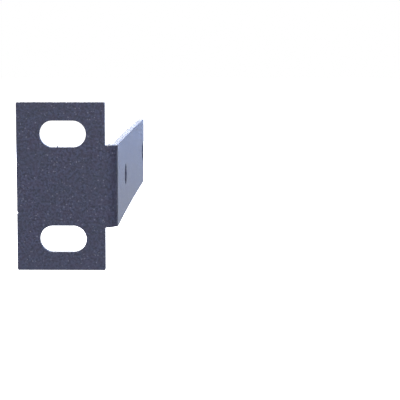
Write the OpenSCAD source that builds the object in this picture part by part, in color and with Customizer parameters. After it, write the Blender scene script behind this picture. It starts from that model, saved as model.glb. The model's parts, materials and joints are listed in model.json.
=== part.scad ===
// Rack mount ear bracket, folded from one blank of sheet steel.
// X runs across the face plate, from its outer edge towards the fold. Z is up.
// Y runs back from the rack's rail, along the side of the equipment.
// The origin is midway between the two slots, on the face that seats on the rail.

/* [Sheet] */
// Thickness of the sheet
sheet_t = 2; // [1.2:0.1:2]
// Inside radius of the fold
fold_r = 1.7; // [0.5:0.1:1.7]
// Radius on the corners of the blank
corner_r = 0.4; // [0.1:0.1:1]

/* [Face plate] */
// Height of the face plate
plate_h = 50.8; // [46:0.1:80]
// Width of the face plate, up to the step down to the neck
plate_w = 26.6; // [24:0.1:60]
// Width of the neck, from the step to the outer face of the side flange
neck_w = 3.7; // [3.7:0.1:12]

/* [Rack slots] */
// Distance between the slots' centres, the pitch of a rail's holes
slot_pitch = 31.75; // [28:0.05:34]
// Length of a slot, end to end
slot_l = 14.1; // [9:0.1:16]
// Height of a slot
slot_h = 8; // [5:0.1:8.5]
// Distance from the plate's outer edge to the slots' centres
slot_inset = 13.9; // [10:0.1:15]

/* [Side flange] */
// Height of the neck and the side flange
flange_h = 24.8; // [16:0.1:30]
// Depth from the plate's front to the flange's rear edge
flange_d = 135; // [115:0.5:300]
// Diameter of the fixing holes
hole_d = 7; // [3:0.1:9]
// Distance between the two fixing holes
hole_pitch = 89; // [20:0.5:95]
// Distance from the rear hole's centre to the rear edge
hole_margin = 6.5; // [5:0.1:10]

/* [Cutting mark] */
// Width of the nick where the cutter broke through on the outer edge
nick_w = 0.6; // [0.2:0.1:1]
// Distance of the nick below the plate's middle
nick_drop = 7.9; // [0:0.1:12]

/* [Hidden] */
$fn = 64;
coat_colour = [0.28, 0.29, 0.37];
outer_r = fold_r + sheet_t;
edge_x = -slot_inset;
step_x = edge_x + plate_w;
side_x = step_x + neck_w;
fold_x = side_x - outer_r;
front_y = -sheet_t;
rear_y = front_y + flange_d;
rear_hole_y = rear_y - hole_margin;
holes_y = [rear_hole_y - hole_pitch, rear_hole_y];
overcut = 2 * sheet_t;

// The sheet's section from above: face plate, quarter-round fold, side flange
module sheet_section() {
    translate([edge_x, front_y]) square([fold_x - edge_x, sheet_t]);
    translate([side_x - sheet_t, fold_r]) square([sheet_t, rear_y - fold_r]);
    translate([fold_x, fold_r]) intersection() {
        difference() {
            circle(outer_r);
            circle(fold_r);
        }
        translate([0, -outer_r]) square(outer_r);
    }
}

// The sliver that rounds off a square corner at the origin, whose sides run along +X and +Y
module corner_waste() {
    difference() {
        translate([-corner_r, -corner_r]) square(2 * corner_r);
        translate([corner_r, corner_r]) circle(corner_r);
    }
}

// The blank's waste over the neck and the flange, with a fillet left in the inside corner
module step_waste() {
    translate([step_x, flange_h / 2]) difference() {
        square([neck_w + overcut, plate_h]);
        corner_waste();
    }
}

module slot() {
    reach = (slot_l - slot_h) / 2;
    square([2 * reach, slot_h], center = true);
    for (x = [-reach, reach]) translate([x, 0]) circle(d = slot_h);
}

// What the cutter takes out, seen from the front
module front_waste() {
    for (side = [0, 1]) mirror([0, side]) {
        step_waste();
        translate([0, slot_pitch / 2]) slot();
        translate([step_x, plate_h / 2]) rotate(180) corner_waste();
        translate([edge_x, plate_h / 2]) rotate(270) corner_waste();
    }
    translate([edge_x, -nick_drop]) circle(d = nick_w);
}

// What the cutter takes out, seen from the flange's outer side
module side_waste() {
    for (y = holes_y) translate([y, 0]) circle(d = hole_d);
    for (side = [0, 1]) mirror([0, side])
        translate([rear_y, flange_h / 2]) rotate(180) corner_waste();
}

module ear_bracket() {
    color(coat_colour) difference() {
        linear_extrude(plate_h, center = true) sheet_section();
        rotate([90, 0, 0]) linear_extrude(2 * (rear_y + overcut), center = true) front_waste();
        translate([side_x, 0, 0]) rotate([90, 0, 90])
            linear_extrude(2 * overcut, center = true) side_waste();
    }
}

ear_bracket();
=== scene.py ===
import json
import math

import bpy
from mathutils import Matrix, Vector
from mathutils.geometry import delaunay_2d_cdt


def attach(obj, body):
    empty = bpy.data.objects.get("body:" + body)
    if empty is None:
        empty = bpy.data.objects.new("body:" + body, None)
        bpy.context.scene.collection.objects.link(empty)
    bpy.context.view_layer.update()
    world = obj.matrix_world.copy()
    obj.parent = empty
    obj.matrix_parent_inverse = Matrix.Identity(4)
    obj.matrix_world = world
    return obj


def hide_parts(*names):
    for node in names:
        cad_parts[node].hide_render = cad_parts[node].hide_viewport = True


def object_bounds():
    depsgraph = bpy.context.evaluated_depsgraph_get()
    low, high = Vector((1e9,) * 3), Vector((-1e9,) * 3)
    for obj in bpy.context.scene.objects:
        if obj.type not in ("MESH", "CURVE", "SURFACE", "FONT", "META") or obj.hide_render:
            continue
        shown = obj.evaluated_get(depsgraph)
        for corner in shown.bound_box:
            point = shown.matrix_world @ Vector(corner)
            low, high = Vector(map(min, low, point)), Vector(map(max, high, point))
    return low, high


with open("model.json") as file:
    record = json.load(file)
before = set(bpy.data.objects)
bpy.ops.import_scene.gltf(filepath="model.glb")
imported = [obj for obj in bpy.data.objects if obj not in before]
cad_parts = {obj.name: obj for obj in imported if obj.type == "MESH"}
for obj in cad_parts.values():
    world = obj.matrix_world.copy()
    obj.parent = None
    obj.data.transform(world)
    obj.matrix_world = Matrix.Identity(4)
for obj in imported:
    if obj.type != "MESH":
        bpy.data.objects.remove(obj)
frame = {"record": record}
cad_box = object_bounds()

# ---------------------------------------------------------------- sizes, in metres
MM = 0.001
SHEET = 2 * MM                      # thickness of the sheet
FOLD_INSIDE = 1.7 * MM              # inside radius of the fold
NECK = 3.7 * MM                     # neck, from the step to the flange's outer face
FLANGE_HEIGHT = 24.8 * MM
CORNER = 0.4 * MM                   # radius on the blank's corners
EDGE_ROUND = 0.06 * MM              # what the coat rounds off every cut edge to
NICK_ROUND = 0.05 * MM              # the same, at the nick and at the burr
NICK = 0.3 * MM                     # radius of the nick on the outer edge
NICK_DROP = 7.9 * MM                # how far below the middle the nick lies
RIM_REACH = 1.6                     # how far the rim's outermost ring goes, in roundings
RIM_STEPS = 4                       # steps round the rounding of an edge
EDGE_PITCH = 2 * MM                 # spacing of points along the straight edges
SLOT_PITCH = 0.5 * MM               # the same, along the slots
FOLD_PITCH = 0.25 * MM              # the same, through the fold
GRID_ACROSS = 1.5 * MM              # spacing of points inside the faces, across the plate
GRID_UP = 1.4 * MM                  # and up it
GRID_GAP = 0.35 * MM                # least distance from those points to a rim
BURR_FOOT = 0.15 * MM               # half the burr's width at its foot
BURR_TIP = 0.05 * MM                # and at its tip
BURR_ROUND = 0.02 * MM              # rounding of its edges
BURR = 0.35 * MM                    # height of the burr on the upper slot's lower edge
BURR_PLACE = -1.6 * MM              # where along the slot it stands
FLANGE_BOW = 0.29 * MM              # how far the middle of the flange bows inwards
FOLD_SHRINK = 0.13 * MM             # how far the fold's outside draws in at its two ends
FOLD_BULGE = 0.32 * MM              # how far its inside swells out there

low, high = cad_box
EDGE = low.x
SIDE = high.x
REAR = high.y
HALF = high.z
STEP = SIDE - NECK
FOLD = SIDE - FOLD_INSIDE - SHEET   # where the fold starts
NEUTRAL = FOLD_INSIDE + SHEET / 2   # the fold's radius halfway through the sheet
ARC = math.pi / 2 * NEUTRAL         # length of sheet that the fold uses up
FLANGE_START = FOLD + ARC           # on the flat blank, where the flange begins
BLANK_END = FLANGE_START + REAR - FOLD_INSIDE

mounts = {m["name"]: m for m in frame["record"]["mounts"]}


def on_blank(y):
    """Where a point of the flange lies along the flat blank."""
    return FLANGE_START + y - FOLD_INSIDE


# ---------------------------------------------------------------- node maths
class Value:
    """A socket of a node tree. Arithmetic on it adds Math nodes to its tree."""

    @staticmethod
    def node(tree, kind, settings=(), inputs=(), output=0):
        """Adds one node, sets it up, fills its sockets and returns one output."""
        made = tree.nodes.new(kind)
        for name, value in dict(settings).items():
            setattr(made, name, value)
        pairs = inputs.items() if isinstance(inputs, dict) else enumerate(inputs)
        for key, value in pairs:
            if isinstance(value, Value):
                tree.links.new(value.socket, made.inputs[key])
            else:
                made.inputs[key].default_value = value
        return Value(tree, made.outputs[output]) if made.outputs else None

    def __init__(self, tree, socket):
        self.tree = tree
        self.socket = socket

    def maths(self, operation, *others):
        return node(self.tree, "ShaderNodeMath", {"operation": operation}, [self, *others])

    def __add__(self, other):
        return self.maths("ADD", other)

    def __sub__(self, other):
        return self.maths("SUBTRACT", other)

    def __mul__(self, other):
        return self.maths("MULTIPLY", other)

    def __truediv__(self, other):
        return self.maths("DIVIDE", other)

    def __rsub__(self, other):
        return node(self.tree, "ShaderNodeMath", {"operation": "SUBTRACT"}, [other, self])

    def __rtruediv__(self, other):
        return node(self.tree, "ShaderNodeMath", {"operation": "DIVIDE"}, [other, self])

    __radd__ = __add__
    __rmul__ = __mul__

    def limit(self, lowest, highest):
        return self.maths("MAXIMUM", lowest).maths("MINIMUM", highest)

    def ramp(self, start, end, low_value=0.0, high_value=1.0):
        return node(
            self.tree, "ShaderNodeMapRange", {"interpolation_type": "SMOOTHSTEP"},
            {"Value": self, "From Min": start, "From Max": end,
             "To Min": low_value, "To Max": high_value})


node = Value.node


# ---------------------------------------------------------------- the flat blank
def arc(centre, radius, start, end, steps, rounding=EDGE_ROUND):
    """Points on an arc, each with the rounding of the edge there. Angles are in degrees."""
    points = []
    for i in range(steps + 1):
        a = math.radians(start + (end - start) * i / steps)
        x = centre[0] + radius * math.cos(a)
        z = centre[1] + radius * math.sin(a)
        points.append((x, z, rounding))
    return points


def run(start, end, pitch):
    """Points along a straight edge at about the pitch, without its two ends."""
    length = math.dist(start, end)
    count = max(1, round(length / pitch))
    return [
        (start[0] + (end[0] - start[0]) * i / count,
         start[1] + (end[1] - start[1]) * i / count, EDGE_ROUND)
        for i in range(1, count)]


def blank_outline():
    """The blank's outline, anticlockwise as seen with x to the right and z up."""
    side = FLANGE_HEIGHT / 2
    r = CORNER
    nick = (EDGE, -NICK_DROP)
    points = arc((EDGE + r, HALF - r), r, 90, 180, 6)
    points += run((EDGE, HALF - r), (EDGE, nick[1] + 3 * NICK), EDGE_PITCH)
    points += [(EDGE, nick[1] + 3 * NICK, EDGE_ROUND)]
    points += arc(nick, NICK, 90, -90, 8, NICK_ROUND)
    points += [(EDGE, nick[1] - 3 * NICK, EDGE_ROUND)]
    points += run((EDGE, nick[1] - 3 * NICK), (EDGE, r - HALF), EDGE_PITCH)
    points += arc((EDGE + r, r - HALF), r, 180, 270, 6)
    points += run((EDGE + r, -HALF), (STEP - r, -HALF), EDGE_PITCH)
    points += arc((STEP - r, r - HALF), r, 270, 360, 6)
    points += run((STEP, r - HALF), (STEP, -side - r), EDGE_PITCH)
    points += arc((STEP + r, -side - r), r, 180, 90, 6)
    points += run((STEP + r, -side), (FLANGE_START, -side), FOLD_PITCH)
    points += run((FLANGE_START, -side), (BLANK_END - r, -side), EDGE_PITCH)
    points += arc((BLANK_END - r, r - side), r, 270, 360, 6)
    points += run((BLANK_END, r - side), (BLANK_END, side - r), EDGE_PITCH)
    points += arc((BLANK_END - r, side - r), r, 0, 90, 6)
    points += run((BLANK_END - r, side), (FLANGE_START, side), EDGE_PITCH)
    points += run((FLANGE_START, side), (STEP + r, side), FOLD_PITCH)
    points += arc((STEP + r, side + r), r, 270, 180, 6)
    points += run((STEP, side + r), (STEP, HALF - r), EDGE_PITCH)
    points += arc((STEP - r, HALF - r), r, 0, 90, 6)
    points += run((STEP - r, HALF), (EDGE + r, HALF), EDGE_PITCH)
    return points


def burr(foot, height):
    """A thin burr standing up from a lower edge that runs towards -x."""
    x, z = foot
    return [(x + BURR_FOOT, z, BURR_ROUND), (x + BURR_TIP, z + height, BURR_ROUND),
            (x - BURR_TIP, z + height, BURR_ROUND), (x - BURR_FOOT, z, BURR_ROUND)]


def slot_outline(mount, burred=False):
    """A slot with round ends, clockwise, so that the metal is on the same hand as outside."""
    x, _, z = mount["pos_m"]
    radius = mount["dims"]["hole_r_mm"] * MM
    reach = mount["dims"]["slot_length_mm"] * MM / 2 - radius
    points = arc((x + reach, z), radius, 90, -90, 40)
    start = (x + reach, z - radius)
    if burred:
        mark = burr((BURR_PLACE, z - radius), BURR)
        points += run(start, mark[0][:2], SLOT_PITCH) + mark
        start = mark[-1][:2]
    points += run(start, (x - reach, z - radius), SLOT_PITCH)
    points += arc((x - reach, z), radius, 270, 90, 40)
    points += run((x - reach, z + radius), (x + reach, z + radius), SLOT_PITCH)
    return points


def hole_outlines():
    mount = mounts["side_holes"]
    radius = mount["dims"]["hole_r_mm"] * MM
    half_pitch = mount["dims"]["spacing_x_mm"] * MM / 2
    middle = mount["pos_m"][1]
    centres = [(on_blank(middle + side * half_pitch), 0.0) for side in (-1, 1)]
    return [arc(centre, radius, 360, 0, 72)[:-1] for centre in centres]


def inset(loop, share):
    """The loop moved into the metal, by a share of each point's own rounding."""
    moved = []
    for i, (x, z, rounding) in enumerate(loop):
        before = Vector(loop[i - 1][:2])
        after = Vector(loop[(i + 1) % len(loop)][:2])
        here = Vector((x, z))
        a = (here - before).normalized()
        b = (after - here).normalized()
        left_a = Vector((-a.y, a.x))
        left_b = Vector((-b.y, b.x))
        push = (left_a + left_b) / (1 + left_a.dot(left_b))
        moved.append(here + push * rounding * share)
    return moved


def rim_profile():
    """Pairs of inset and depth, as shares of the rounding, from the face to the wall."""
    pairs = [(RIM_REACH, 0.0)]
    for i in range(RIM_STEPS + 1):
        a = math.pi / 2 * i / RIM_STEPS
        pairs.append((1 - math.sin(a), 1 - math.cos(a)))
    return pairs


def face_grid():
    """Points inside the faces: close across the fold, wider along the plate and flange."""
    plate_count = int((FOLD - EDGE) / GRID_ACROSS)
    flange_count = int((BLANK_END - FLANGE_START) / GRID_ACROSS)
    up_count = int(HALF / GRID_UP)
    across = [EDGE + (i + 1) * GRID_ACROSS for i in range(plate_count)]
    across += [FOLD + ARC * i / 24 for i in range(25)]
    across += [FLANGE_START + (i + 0.5) * GRID_ACROSS for i in range(flange_count)]
    up = [i * GRID_UP for i in range(-up_count, up_count + 1)]
    return [(x, z) for x in across for z in up]


def inside(point, loop):
    """True if the point lies inside the loop."""
    x, z = point
    hit = False
    for i, b in enumerate(loop):
        a = loop[i - 1]
        if (a[1] > z) != (b[1] > z) and x < a[0] + (z - a[1]) * (b[0] - a[0]) / (b[1] - a[1]):
            hit = not hit
    return hit


def make_blank():
    """The cut sheet before folding: front face at y = -SHEET, back face at y = 0."""
    loops = [blank_outline(), slot_outline(mounts["rack_slot_upper"], True),
             slot_outline(mounts["rack_slot_lower"]), *hole_outlines()]
    vertices = []
    faces = []
    rims = {-1: [], 1: []}
    for loop in loops:
        rings = []
        count = len(loop)
        for facing in (-1, 1):
            rows = []
            for inward, depth in rim_profile():
                row = []
                for (x, z), (_, _, rounding) in zip(inset(loop, inward), loop):
                    y = -SHEET + depth * rounding if facing < 0 else -depth * rounding
                    row.append(len(vertices))
                    vertices.append((x, y, z))
                rows.append(row)
            rims[facing].append(rows[0])
            rings += rows if facing < 0 else rows[::-1]
        for near, far in zip(rings, rings[1:]):
            for i in range(count):
                j = (i + 1) % count
                faces.append((near[i], far[i], far[j], near[j]))
    for facing in (-1, 1):
        faces += fill_face(vertices, rims[facing], facing)
    mesh = bpy.data.meshes.new("blank")
    mesh.from_pydata([Vector(v) for v in vertices], [], faces)
    mesh.shade_smooth()
    mesh.validate()
    return mesh


def fill_face(vertices, rims, facing):
    """Triangles over one face of the sheet, between its outer rim and the rims of its openings."""
    flat = [[(vertices[i][0], vertices[i][2]) for i in rim] for rim in rims]
    points = [p for rim in flat for p in rim]
    known = [i for rim in rims for i in rim]
    edges = []
    start = 0
    for rim in flat:
        edges += [(start + i, start + (i + 1) % len(rim)) for i in range(len(rim))]
        start += len(rim)
    cells = {}
    for p in points:
        cells.setdefault((round(p[0] / MM), round(p[1] / MM)), []).append(p)
    for p in face_grid():
        if not inside(p, flat[0]) or any(inside(p, hole) for hole in flat[1:]):
            continue
        cx, cz = round(p[0] / MM), round(p[1] / MM)
        around = [(cx + dx, cz + dz) for dx in (-1, 0, 1) for dz in (-1, 0, 1)]
        near = [q for cell in around for q in cells.get(cell, [])]
        if any(math.dist(p, q) < GRID_GAP for q in near):
            continue
        points.append(p)
    out, _, triangles, origin, _, _ = delaunay_2d_cdt(
        [Vector((x / MM, z / MM)) for x, z in points], edges, [], 0, 1e-7)
    y = -SHEET if facing < 0 else 0.0
    names = []
    for place, sources in zip(out, origin):
        first = min(sources) if sources else len(points)
        if first < len(known):
            names.append(known[first])
            continue
        names.append(len(vertices))
        vertices.append((place.x * MM, y, place.y * MM))
    made = []
    for a, b, c in triangles:
        centre = (out[a] + out[b] + out[c]) / 3 * MM
        if not inside(centre, flat[0]) or any(inside(centre, hole) for hole in flat[1:]):
            continue
        turn = (out[b] - out[a]).cross(out[c] - out[a]) > 0
        made.append((names[a], names[b], names[c]) if turn == (facing < 0) else
                    (names[a], names[c], names[b]))
    return made


# ---------------------------------------------------------------- the fold
def fold_tree():
    """Folds a flat sheet through a right angle about a line parallel to z."""
    tree = bpy.data.node_groups.new("Fold sheet", "GeometryNodeTree")
    face = tree.interface
    face.new_socket("Geometry", in_out="INPUT", socket_type="NodeSocketGeometry")
    for name in ("Fold start", "Inside radius", "Thickness", "Flange length", "Flange bow",
                 "Flange height", "End shrink", "End bulge"):
        face.new_socket(name, in_out="INPUT", socket_type="NodeSocketFloat")
    face.new_socket("Finish", in_out="INPUT", socket_type="NodeSocketMaterial")
    face.new_socket("Geometry", in_out="OUTPUT", socket_type="NodeSocketGeometry")

    def given(name):
        return node(tree, "NodeGroupInput", output=name)

    place = node(tree, "GeometryNodeInputPosition")
    x, y, z = (node(tree, "ShaderNodeSeparateXYZ", inputs=[place], output=axis) for axis in "XYZ")

    neutral = given("Inside radius") + given("Thickness") * 0.5
    past = x - given("Fold start")
    angle = (past / neutral).limit(0, math.pi / 2)
    straight = past - angle * neutral
    radius = given("Inside radius") - y
    sine = angle.maths("SINE")
    cosine = angle.maths("COSINE")
    share = (straight / given("Flange length")).limit(0, 1)
    bow = given("Flange bow") * 4 * share * (1 - share) * sine
    height = z.maths("ABSOLUTE")
    half = given("Flange height") * 0.5
    at_end = height.ramp(half - given("Thickness"), half) * (sine * cosine * 2)
    through = (0 - y) / given("Thickness")
    swell = given("End bulge") * (1 - through) - given("End shrink") * through
    tall = z + z.maths("SIGN") * at_end * swell
    folded = node(tree, "ShaderNodeCombineXYZ", inputs={
        "X": given("Fold start") + radius * sine + straight * cosine - bow,
        "Y": given("Inside radius") - radius * cosine + straight * sine,
        "Z": tall})
    moved = node(tree, "GeometryNodeSetPosition",
                 inputs={"Geometry": given("Geometry"), "Position": folded})
    real = node(tree, "GeometryNodeRealizeInstances", inputs={"Geometry": moved})
    dressed = node(tree, "GeometryNodeSetMaterial",
                   inputs={"Geometry": real, "Material": given("Finish")})
    node(tree, "NodeGroupOutput", inputs=[dressed])
    return tree


def fold_blank(mesh, finish):
    """Runs the fold on the blank and returns the folded bracket as a plain mesh object."""
    flat = bpy.data.objects.new("flat_blank", mesh)
    bpy.context.scene.collection.objects.link(flat)
    tree = fold_tree()
    press = flat.modifiers.new("Fold", "NODES")
    press.node_group = tree
    sockets = {s.name: s.identifier for s in tree.interface.items_tree if s.in_out == "INPUT"}
    press[sockets["Fold start"]] = FOLD
    press[sockets["Inside radius"]] = FOLD_INSIDE
    press[sockets["Thickness"]] = SHEET
    press[sockets["Flange length"]] = BLANK_END - FLANGE_START
    press[sockets["Flange bow"]] = FLANGE_BOW
    press[sockets["Flange height"]] = FLANGE_HEIGHT
    press[sockets["End shrink"]] = FOLD_SHRINK
    press[sockets["End bulge"]] = FOLD_BULGE
    press[sockets["Finish"]] = finish
    depsgraph = bpy.context.evaluated_depsgraph_get()
    folded = bpy.data.meshes.new_from_object(flat.evaluated_get(depsgraph), depsgraph=depsgraph)
    flat.modifiers.remove(press)
    bpy.data.objects.remove(flat)
    folded.name = "ear"
    ear = bpy.data.objects.new("ear", folded)
    bpy.context.scene.collection.objects.link(ear)
    return ear


# ---------------------------------------------------------------- materials
def powder_coat():
    """Dark slate powder coat: a fine-grained satin skin with smoother flakes in it, whose glints
    are painted on as a paler colour.
    """
    material = bpy.data.materials.new("slate powder coat")
    material.use_nodes = True
    tree = material.node_tree
    tree.nodes.clear()
    place = node(tree, "ShaderNodeTexCoord", output=3)

    def noise(size, detail=2.0, roughness=0.5):
        return node(tree, "ShaderNodeTexNoise", {"noise_dimensions": "3D"},
                    {"Vector": place, "Scale": 1 / size, "Detail": detail,
                     "Roughness": roughness})

    def blend(factor, first, second):
        return node(tree, "ShaderNodeMix", {"data_type": "RGBA"},
                    {0: factor, 6: first, 7: second}, 2)

    height = node(tree, "ShaderNodeSeparateXYZ", inputs=[place], output=2)
    grain = noise(0.7 * MM, 2.0, 0.6)
    grain = 0.5 + (grain - 0.5) * height.ramp(-HALF, 5 * MM - HALF, 0.4, 1.0)
    cloud = noise(7 * MM, 2.0)
    tint = noise(1.8 * MM, 1.0)
    flakes = node(tree, "ShaderNodeTexVoronoi", {"feature": "F1"},
                  {"Vector": place, "Scale": 1 / (0.8 * MM), "Randomness": 1.0})
    chance = noise(0.9 * MM, 0.0).ramp(0.56, 0.66)
    # flake mask: the flakes are smoother, and their glints are painted on as a paler colour below
    flake_and_glint = (1 - flakes.ramp(0.16, 0.36)) * chance

    shade = blend(grain.ramp(0.36, 0.64), (0.011, 0.013, 0.034, 1), (0.052, 0.060, 0.118, 1))
    shade = blend(tint.ramp(0.35, 0.65) * 0.4, shade, (0.040, 0.031, 0.068, 1))
    shade = blend(cloud.ramp(0.3, 0.7) * 0.30, shade, (0.026, 0.036, 0.062, 1))
    # painted glints: the flakes are painted a paler blue-grey, standing in for the light they
    # catch
    shade = blend(flake_and_glint * 0.7, shade, (0.15, 0.16, 0.23, 1))

    bump = node(tree, "ShaderNodeBump", {},
                {"Strength": 1.0, "Distance": 0.2 * MM, "Height": grain})
    surface = node(tree, "ShaderNodeBsdfPrincipled", {}, {
        "Base Color": shade, "Roughness": 0.36 + grain * 0.3 - flake_and_glint * 0.2, "Normal": bump,
        "IOR": 1.5, "Specular IOR Level": 0.3, "Sheen Weight": 0.1, "Sheen Roughness": 0.45,
        "Sheen Tint": (0.45, 0.6, 1.0, 1)})
    node(tree, "ShaderNodeOutputMaterial", inputs=[surface])
    return material


def floor_finish():
    """Matt white card that shows as plain white and still takes a shadow."""
    material = bpy.data.materials.new("white card")
    material.use_nodes = True
    tree = material.node_tree
    tree.nodes.clear()
    kinds = ("Is Camera Ray", "Is Glossy Ray")
    seen = sum(node(tree, "ShaderNodeLightPath", output=kind) for kind in kinds).limit(0, 1)
    place = node(tree, "ShaderNodeTexCoord", output=3)
    away = node(tree, "ShaderNodeVectorMath", {"operation": "LENGTH"}, [place], 1)
    card = node(tree, "ShaderNodeBsdfDiffuse", {}, {"Color": (0.82, 0.82, 0.82, 1)})
    glow = node(tree, "ShaderNodeEmission", {},
                {"Color": (1, 1, 1, 1), "Strength": seen * away.ramp(0.2, 0.7, 0.4, 1.0)})
    both = node(tree, "ShaderNodeAddShader", {}, [card, glow])
    node(tree, "ShaderNodeOutputMaterial", inputs=[both])
    return material


# ---------------------------------------------------------------- the bracket
ear = fold_blank(make_blank(), powder_coat())
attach(ear, "root")
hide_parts("ear_bracket")


# ---------------------------------------------------------------- the studio, in metres
FLOOR_DROP = 0.14                   # how far the floor lies below the bracket's middle
FLOOR_HALF = 6.0
FLAG_SIDE = 0.5                     # how far to the side the black card stands
FLAG_FRONT = 0.05
FLAG_REAR = 0.85
FLAG_TOP = 0.6
FLAG_FOOT = -0.13
WORLD_FILL = 0.35                   # share of its white that the room sends as plain light
LENS = 122.0                        # focal length in mm, on a 36 mm wide sensor
LENS_SHIFT = -0.0739
CAMERA_PLACE = (0.0483, -0.4068, 0.0439)
CAMERA_YAW = math.radians(-0.99)
CAMERA_PITCH = math.radians(5.49)   # downwards


def studio_floor():
    """White card under the bracket, wide enough to reach the edges of the view."""
    turns = ((-1, -1), (1, -1), (1, 1), (-1, 1))
    corners = [(x * FLOOR_HALF, y * FLOOR_HALF, -FLOOR_DROP) for x, y in turns]
    mesh = bpy.data.meshes.new("floor")
    mesh.from_pydata(corners, [], [(0, 1, 2, 3)])
    mesh.materials.append(floor_finish())
    floor = bpy.data.objects.new("floor", mesh)
    bpy.context.scene.collection.objects.link(floor)


def black_flag():
    """Black card beside the fold, so that the rounding turns dark towards the flange."""
    mesh = bpy.data.meshes.new("flag")
    corners = [(FLAG_SIDE, FLAG_FRONT, FLAG_FOOT), (FLAG_SIDE, FLAG_REAR, FLAG_FOOT),
               (FLAG_SIDE, FLAG_REAR, FLAG_TOP), (FLAG_SIDE, FLAG_FRONT, FLAG_TOP)]
    mesh.from_pydata(corners, [], [(0, 1, 2, 3)])
    material = bpy.data.materials.new("black card")
    material.use_nodes = True
    tree = material.node_tree
    tree.nodes.clear()
    card = node(tree, "ShaderNodeBsdfDiffuse", {}, {"Color": (0.01, 0.01, 0.01, 1)})
    node(tree, "ShaderNodeOutputMaterial", inputs=[card])
    mesh.materials.append(material)
    flag = bpy.data.objects.new("flag", mesh)
    flag.visible_camera = False
    bpy.context.scene.collection.objects.link(flag)


def soft_light(name, place, target, width, height, strength, colour=(1, 1, 1)):
    """A soft box of a given radiance, which the camera itself doesn't see."""
    lamp = bpy.data.lights.new(name, "AREA")
    lamp.shape = "RECTANGLE"
    lamp.size = width
    lamp.size_y = height
    lamp.color = colour
    lamp.energy = strength * math.pi * width * height
    holder = bpy.data.objects.new(name, lamp)
    holder.location = place
    holder.rotation_euler = (Vector(target) - Vector(place)).to_track_quat("-Z", "Y").to_euler()
    holder.visible_camera = False
    bpy.context.scene.collection.objects.link(holder)


def white_world():
    """White where it is seen or mirrored, and a weaker fill for the light it sends."""
    world = bpy.data.worlds.new("white room")
    bpy.context.scene.world = world
    world.use_nodes = True
    tree = world.node_tree
    tree.nodes.clear()
    kinds = ("Is Camera Ray", "Is Glossy Ray", "Is Transmission Ray")
    seen = sum(node(tree, "ShaderNodeLightPath", output=kind) for kind in kinds).limit(0, 1)
    strength = WORLD_FILL + seen * (1 - WORLD_FILL)
    back = node(tree, "ShaderNodeBackground", {}, {"Color": (1, 1, 1, 1), "Strength": strength})
    node(tree, "ShaderNodeOutputWorld", inputs=[back])


def camera():
    data = bpy.data.cameras.new("camera")
    data.sensor_width = 36
    data.lens = LENS
    data.shift_y = LENS_SHIFT
    data.clip_start = 0.01
    data.clip_end = 20
    holder = bpy.data.objects.new("camera", data)
    holder.location = CAMERA_PLACE
    level = math.cos(CAMERA_PITCH)
    ahead = Vector((math.sin(CAMERA_YAW) * level, math.cos(CAMERA_YAW) * level,
                    -math.sin(CAMERA_PITCH)))
    holder.rotation_euler = ahead.to_track_quat("-Z", "Y").to_euler()
    bpy.context.scene.collection.objects.link(holder)
    bpy.context.scene.camera = holder


studio_floor()
white_world()
black_flag()
soft_light("key", (0.05, -1.2, 0.5), (0, 0, 0), 1.2, 1.2, 2.25)
soft_light("rear", (-0.7, 1.4, 0.6), (0, 0.06, 0), 1.5, 0.9, 7.2)
soft_light("backdrop", (0.25, 2.0, 0.15), (0, 0.06, 0), 0.8, 1.5, 5.0, (0.30, 0.48, 1.0))
camera()
bpy.context.scene.view_settings.view_transform = "Standard"
